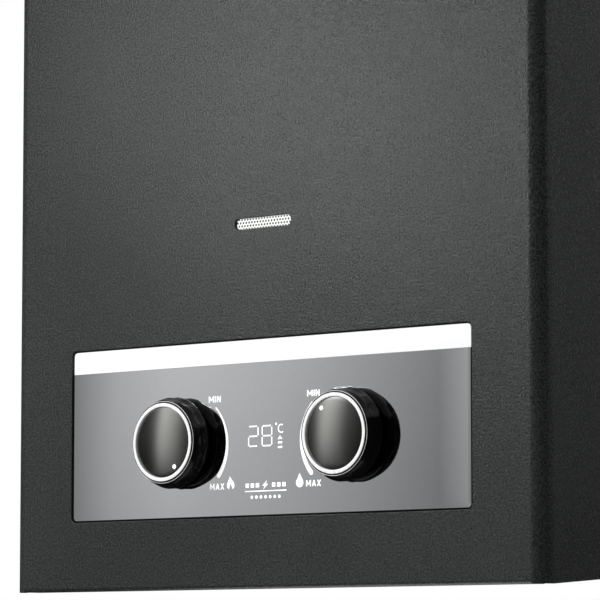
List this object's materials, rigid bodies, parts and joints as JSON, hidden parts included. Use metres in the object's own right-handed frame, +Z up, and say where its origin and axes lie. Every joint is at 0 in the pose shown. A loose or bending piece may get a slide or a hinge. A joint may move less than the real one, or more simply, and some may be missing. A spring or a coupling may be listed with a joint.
{
  "type": "portable gas water heater",
  "caption": "Wall-hung propane water heater: folded steel case, mirror control plate with rotary knobs, folding handle, hose fittings and battery door underneath.",
  "frame": {"origin": "middle of the two hanger holes, on the wall face of the back plate", "axes": "+X to the right seen from the front, +Y into the wall, +Z up; the control face looks along -Y"},
  "size_m": [0.304, 0.161, 0.47],
  "materials": {
    "black_plastic": "moulded, fine grain",
    "brass": "machined",
    "bright_strip": "bright satin strip",
    "button_red": "red",
    "cell_wrap": "plain wrapped cell",
    "ceramic": "glazed white ceramic",
    "chrome": "bright chrome",
    "coated_steel": "black fine-textured powder coat",
    "copper": "copper, dulled by heat",
    "display_glass": "black display face",
    "grip_rubber": "ribbed soft grip",
    "knob_disc": "spun satin black",
    "knob_gloss": "piano black",
    "lead_silicone": "red silicone",
    "mica": "mica sheet",
    "mirror_plate": "tinted mirror plate with white print",
    "nylon": "white nylon mesh",
    "rubber": "moulded rubber",
    "stainless": "stainless, heat-tinted where hot",
    "steel": "plain steel",
    "white_mark": "white",
    "zinc_steel": "zinc-plated sheet"
  },
  "bodies": {
    "case": {"front_cover": "coated_steel", "back_plate": "zinc_steel", "bottom_plate": "zinc_steel", "top_plate": "coated_steel", "rain_cap": "coated_steel", "cover_screws": "steel", "handle_brackets": "steel", "handle_pins": "steel", "plate_carrier": "black_plastic", "control_plate": "mirror_plate", "trim_strip": "bright_strip", "display_module": "display_glass", "viewing_mesh": "steel", "gas_valve": "brass", "gas_solenoid": "steel", "gas_inlet": "brass", "burner_manifold": "steel", "gas_nozzles": "brass", "burner_tray": "stainless", "burner_bars": "stainless", "electrodes": "ceramic", "combustion_chamber": "copper", "mica_window": "mica", "exchanger_fins": "copper", "exchanger_pipe": "copper", "flue_collector": "stainless", "overheat_switch": "black_plastic", "water_valve": "brass", "diaphragm": "rubber", "diaphragm_cover": "brass", "diaphragm_screws": "steel", "cold_inlet": "brass", "inlet_filter": "nylon", "cold_pipe": "copper", "hot_pipe": "copper", "hot_outlet": "brass", "drain_plug": "brass", "microswitch": "black_plastic", "igniter_module": "black_plastic", "ignition_lead": "lead_silicone", "battery_box": "black_plastic", "batteries": "cell_wrap", "battery_contacts": "steel", "door_hinge": "steel", "door_pin": "steel"},
    "gas_control": {"gas_knob": "knob_gloss", "gas_knob_ring": "chrome", "gas_knob_cap": "knob_disc", "gas_knob_mark": "white_mark", "gas_spindle": "brass"},
    "water_control": {"water_knob": "knob_gloss", "water_knob_ring": "chrome", "water_knob_cap": "knob_disc", "water_knob_mark": "white_mark", "water_spindle": "brass"},
    "handle": {"carry_handle": "steel", "handle_grip": "grip_rubber"},
    "rod": {"push_rod": "steel"},
    "button": {"switch_button": "button_red"},
    "door": {"battery_door": "black_plastic"}
  },
  "joints": [
    {"name": "gas_knob_turn", "type": "hinge", "parent": "case", "child": "gas_control", "pos_m": [-0.0487, -0.15, -0.3906], "axis": [0, -1, 0], "range_deg": [0, 115]},
    {"name": "water_knob_turn", "type": "hinge", "parent": "case", "child": "water_control", "pos_m": [0.0487, -0.15, -0.3906], "axis": [0, -1, 0], "range_deg": [0, 115]},
    {"name": "handle_fold", "type": "hinge", "parent": "case", "child": "handle", "pos_m": [0, -0.0622, -0.007], "axis": [-1, 0, 0], "range_deg": [0, 90]},
    {"name": "push_rod_slide", "type": "slide", "parent": "case", "child": "rod", "axis": [-1, 0, 0], "range_m": [0, 0.003], "stiffness_N_per_m": 500, "springref_m": -0.002},
    {"name": "switch_button_slide", "type": "slide", "parent": "case", "child": "button", "axis": [-1, 0, 0], "range_m": [0, 0.003], "stiffness_N_per_m": 100},
    {"name": "battery_door_swing", "type": "hinge", "parent": "case", "child": "door", "pos_m": [0.1012, -0.075, -0.4233], "axis": [0, 1, 0], "range_deg": [0, 100]}
  ],
  "couplings": [
    {"joint": "switch_button_slide", "follows": "push_rod_slide", "ratio": 1}
  ]
}
